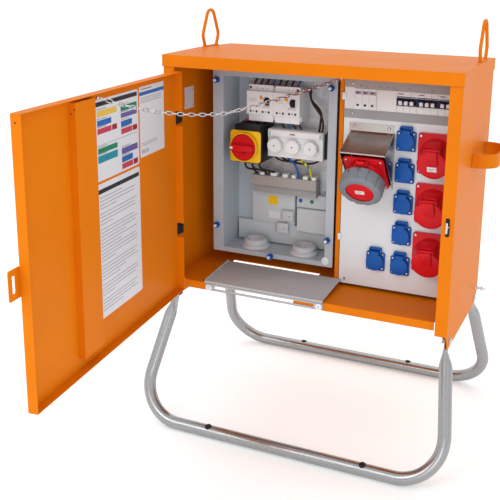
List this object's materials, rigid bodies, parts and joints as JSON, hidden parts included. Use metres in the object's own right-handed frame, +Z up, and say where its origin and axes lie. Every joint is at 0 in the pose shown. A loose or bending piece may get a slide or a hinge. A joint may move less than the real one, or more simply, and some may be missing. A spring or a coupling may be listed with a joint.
{
  "type": "portable power distribution box",
  "caption": "Steel distribution cabinet on a tubular stand with a hinged door, switchgear behind a grey enclosure and a panel of covered outlets.",
  "frame": {"origin": "on the floor, below the middle of the whole object's bounding box with the door standing open", "axes": "+X to the right as seen by someone facing the open front, +Y to the back, +Z up; the open door stands out along -Y"},
  "size_m": [0.9076, 1.2644, 1.1159],
  "materials": {
    "orange_steel": "satin powder coat",
    "enclosure_grey": "satin",
    "white_plastic": "satin",
    "panel_grey": "satin powder coat",
    "stainless_steel": "brushed",
    "blue_plastic": "gloss",
    "red_plastic": "gloss",
    "black_plastic": "satin",
    "yellow_plastic": "gloss",
    "amber_plastic": "gloss",
    "ring_grey": "satin"
  },
  "bodies": {
    "cabinet": {"roof_hood": "orange_steel", "lifting_eye_left": "orange_steel", "lifting_eye_right": "orange_steel", "side_plate_left": "orange_steel", "side_plate_right": "orange_steel", "back_plate": "orange_steel", "floor_plate": "orange_steel", "divider": "orange_steel", "handle_left": "orange_steel", "handle_right": "orange_steel", "supply_box": "enclosure_grey", "control_unit": "enclosure_grey", "rcd_left": "white_plastic", "rcd_right": "white_plastic", "fuse_block": "white_plastic", "breaker_row": "white_plastic", "socket_panel": "panel_grey", "flap_bracket": "panel_grey", "hood_63": "stainless_steel", "stand_front": "stainless_steel", "stand_rear": "stainless_steel", "door_hinge_lower": "black_plastic", "door_hinge_upper": "black_plastic", "main_switch": "yellow_plastic", "cee_socket_1": "red_plastic", "cee_socket_2": "red_plastic", "cee_socket_3": "red_plastic", "socket_63": "red_plastic", "schuko_socket_1": "blue_plastic", "schuko_socket_2": "blue_plastic", "schuko_socket_3": "blue_plastic", "schuko_socket_4": "blue_plastic", "schuko_socket_5": "blue_plastic", "schuko_socket_6": "blue_plastic"},
    "door": {"door": "orange_steel"},
    "chain_swivel_door": {"chain_hook_door": "stainless_steel"},
    "chain_arm_door": {"chain_door_half": "stainless_steel"},
    "chain_swivel_cabinet": {"chain_hook_cabinet": "stainless_steel"},
    "chain_arm_cabinet": {"chain_cabinet_half": "stainless_steel"},
    "cable_flap": {"cable_flap": "panel_grey"},
    "switch_handle": {"switch_handle": "red_plastic"},
    "rcd_rocker_left": {"rcd_rocker_left": "black_plastic"},
    "rcd_rocker_right": {"rcd_rocker_right": "black_plastic"},
    "rcd_button_left": {"rcd_test_button_left": "amber_plastic"},
    "rcd_button_right": {"rcd_test_button_right": "amber_plastic"},
    "lid_63": {"socket_63_lid": "red_plastic"},
    "ring_63": {"bayonet_ring_63": "ring_grey"},
    "latch": {"latch": "stainless_steel"},
    "breaker_rocker_1": {"breaker_rocker_1": "black_plastic"},
    "cee_lid_1": {"cee_lid_1": "red_plastic"},
    "breaker_rocker_2": {"breaker_rocker_2": "black_plastic"},
    "cee_lid_2": {"cee_lid_2": "red_plastic"},
    "breaker_rocker_3": {"breaker_rocker_3": "black_plastic"},
    "cee_lid_3": {"cee_lid_3": "red_plastic"},
    "schuko_lid_1": {"schuko_lid_1": "blue_plastic"},
    "schuko_lid_2": {"schuko_lid_2": "blue_plastic"},
    "schuko_lid_3": {"schuko_lid_3": "blue_plastic"},
    "schuko_lid_4": {"schuko_lid_4": "blue_plastic"},
    "schuko_lid_5": {"schuko_lid_5": "blue_plastic"},
    "schuko_lid_6": {"schuko_lid_6": "blue_plastic"}
  },
  "joints": [
    {"name": "door_hinge", "type": "hinge", "parent": "cabinet", "child": "door", "pos_m": [-0.3605, 0.11745, 0.66551], "axis": [0, 0, 1], "range_deg": [0, 84]},
    {"name": "chain_swivel_cabinet", "type": "hinge", "parent": "cabinet", "child": "chain_swivel_cabinet", "pos_m": [0.048, 0.26445, 0.95651], "axis": [0, 0, 1], "range_deg": [0, 42.01]},
    {"name": "chain_swivel_door", "type": "hinge", "parent": "door", "child": "chain_swivel_door", "pos_m": [-0.29629, -0.31192, 0.95651], "axis": [0, 0, 1], "range_deg": [-42.01, 0]},
    {"name": "chain_drop_cabinet", "type": "hinge", "parent": "chain_swivel_cabinet", "child": "chain_arm_cabinet", "pos_m": [0.048, 0.26445, 0.95651], "axis": [0.8585, -0.5128, 0], "range_deg": [0, 68.85]},
    {"name": "chain_drop_door", "type": "hinge", "parent": "chain_swivel_door", "child": "chain_arm_door", "pos_m": [-0.29629, -0.31192, 0.95651], "axis": [-0.8585, 0.5128, 0], "range_deg": [0, 68.85]},
    {"name": "cable_flap_hinge", "type": "hinge", "parent": "cabinet", "child": "cable_flap", "pos_m": [-0.108, 0.12645, 0.39551], "axis": [1, 0, 0], "range_deg": [0, 83]},
    {"name": "main_switch_turn", "type": "hinge", "parent": "cabinet", "child": "switch_handle", "pos_m": [-0.227, 0.25445, 0.75051], "axis": [0, 1, 0], "range_deg": [0, 90]},
    {"name": "rcd_trip_left", "type": "hinge", "parent": "cabinet", "child": "rcd_rocker_left", "pos_m": [-0.177, 0.30245, 0.87501], "axis": [1, 0, 0], "range_deg": [0, 40]},
    {"name": "rcd_test_left", "type": "slide", "parent": "cabinet", "child": "rcd_button_left", "axis": [0, 1, 0], "range_m": [0, 0.002], "stiffness_N_per_m": 300, "springref_m": -0.001},
    {"name": "rcd_trip_right", "type": "hinge", "parent": "cabinet", "child": "rcd_rocker_right", "pos_m": [-0.1004, 0.30245, 0.87501], "axis": [1, 0, 0], "range_deg": [0, 40]},
    {"name": "rcd_test_right", "type": "slide", "parent": "cabinet", "child": "rcd_button_right", "axis": [0, 1, 0], "range_m": [0, 0.002], "stiffness_N_per_m": 300, "springref_m": -0.001},
    {"name": "breaker_trip_1", "type": "hinge", "parent": "cabinet", "child": "breaker_rocker_1", "pos_m": [0.22245, 0.27345, 0.90751], "axis": [1, 0, 0], "range_deg": [0, 40]},
    {"name": "breaker_trip_2", "type": "hinge", "parent": "cabinet", "child": "breaker_rocker_2", "pos_m": [0.27595, 0.27345, 0.90751], "axis": [1, 0, 0], "range_deg": [0, 40]},
    {"name": "breaker_trip_3", "type": "hinge", "parent": "cabinet", "child": "breaker_rocker_3", "pos_m": [0.32945, 0.27345, 0.90751], "axis": [1, 0, 0], "range_deg": [0, 40]},
    {"name": "schuko_lid_hinge_1", "type": "hinge", "parent": "cabinet", "child": "schuko_lid_1", "pos_m": [0.226, 0.26465, 0.83451], "axis": [-1, 0, 0], "range_deg": [0, 110], "stiffness_Nm_per_rad": 0.02, "springref_deg": -17.19},
    {"name": "schuko_lid_hinge_2", "type": "hinge", "parent": "cabinet", "child": "schuko_lid_2", "pos_m": [0.226, 0.26465, 0.75071], "axis": [-1, 0, 0], "range_deg": [0, 110], "stiffness_Nm_per_rad": 0.02, "springref_deg": -17.19},
    {"name": "schuko_lid_hinge_3", "type": "hinge", "parent": "cabinet", "child": "schuko_lid_3", "pos_m": [0.226, 0.26465, 0.66691], "axis": [-1, 0, 0], "range_deg": [0, 110], "stiffness_Nm_per_rad": 0.02, "springref_deg": -17.19},
    {"name": "schuko_lid_hinge_4", "type": "hinge", "parent": "cabinet", "child": "schuko_lid_4", "pos_m": [0.226, 0.26465, 0.58311], "axis": [-1, 0, 0], "range_deg": [0, 110], "stiffness_Nm_per_rad": 0.02, "springref_deg": -17.19},
    {"name": "schuko_lid_hinge_5", "type": "hinge", "parent": "cabinet", "child": "schuko_lid_5", "pos_m": [0.226, 0.26465, 0.49931], "axis": [-1, 0, 0], "range_deg": [0, 110], "stiffness_Nm_per_rad": 0.02, "springref_deg": -17.19},
    {"name": "schuko_lid_hinge_6", "type": "hinge", "parent": "cabinet", "child": "schuko_lid_6", "pos_m": [0.159, 0.26465, 0.50251], "axis": [-1, 0, 0], "range_deg": [0, 110], "stiffness_Nm_per_rad": 0.02, "springref_deg": -17.19},
    {"name": "cee_lid_hinge_1", "type": "hinge", "parent": "cabinet", "child": "cee_lid_1", "pos_m": [0.306, 0.21645, 0.80191], "axis": [-1, 0, 0], "range_deg": [0, 100], "stiffness_Nm_per_rad": 0.08, "springref_deg": -22.92},
    {"name": "cee_lid_hinge_2", "type": "hinge", "parent": "cabinet", "child": "cee_lid_2", "pos_m": [0.306, 0.21645, 0.67111], "axis": [-1, 0, 0], "range_deg": [0, 100], "stiffness_Nm_per_rad": 0.08, "springref_deg": -22.92},
    {"name": "cee_lid_hinge_3", "type": "hinge", "parent": "cabinet", "child": "cee_lid_3", "pos_m": [0.306, 0.21645, 0.54031], "axis": [-1, 0, 0], "range_deg": [0, 100], "stiffness_Nm_per_rad": 0.08, "springref_deg": -22.92},
    {"name": "lid_63_hinge", "type": "hinge", "parent": "cabinet", "child": "lid_63", "pos_m": [0.136, 0.17617, 0.76106], "axis": [1, 0, 0], "range_deg": [-100, 0], "stiffness_Nm_per_rad": 0.3, "springref_deg": 34.38},
    {"name": "ring_63_turn", "type": "hinge", "parent": "lid_63", "child": "ring_63", "pos_m": [0.136, 0.23565, 0.72701], "axis": [0, -0.7743, -0.6328], "range_deg": [0, 60]},
    {"name": "latch_turn", "type": "hinge", "parent": "cabinet", "child": "latch", "pos_m": [0.377, 0.11445, 0.64151], "axis": [0, 1, 0], "range_deg": [0, 90]}
  ],
  "couplings": [
    {"joint": "chain_swivel_cabinet", "follows": "door_hinge", "ratio": 0.5},
    {"joint": "chain_swivel_door", "follows": "door_hinge", "ratio": -0.5},
    {"joint": "chain_drop_cabinet", "follows": "door_hinge", "ratio": 0.81948},
    {"joint": "chain_drop_door", "follows": "door_hinge", "ratio": 0.81948}
  ]
}
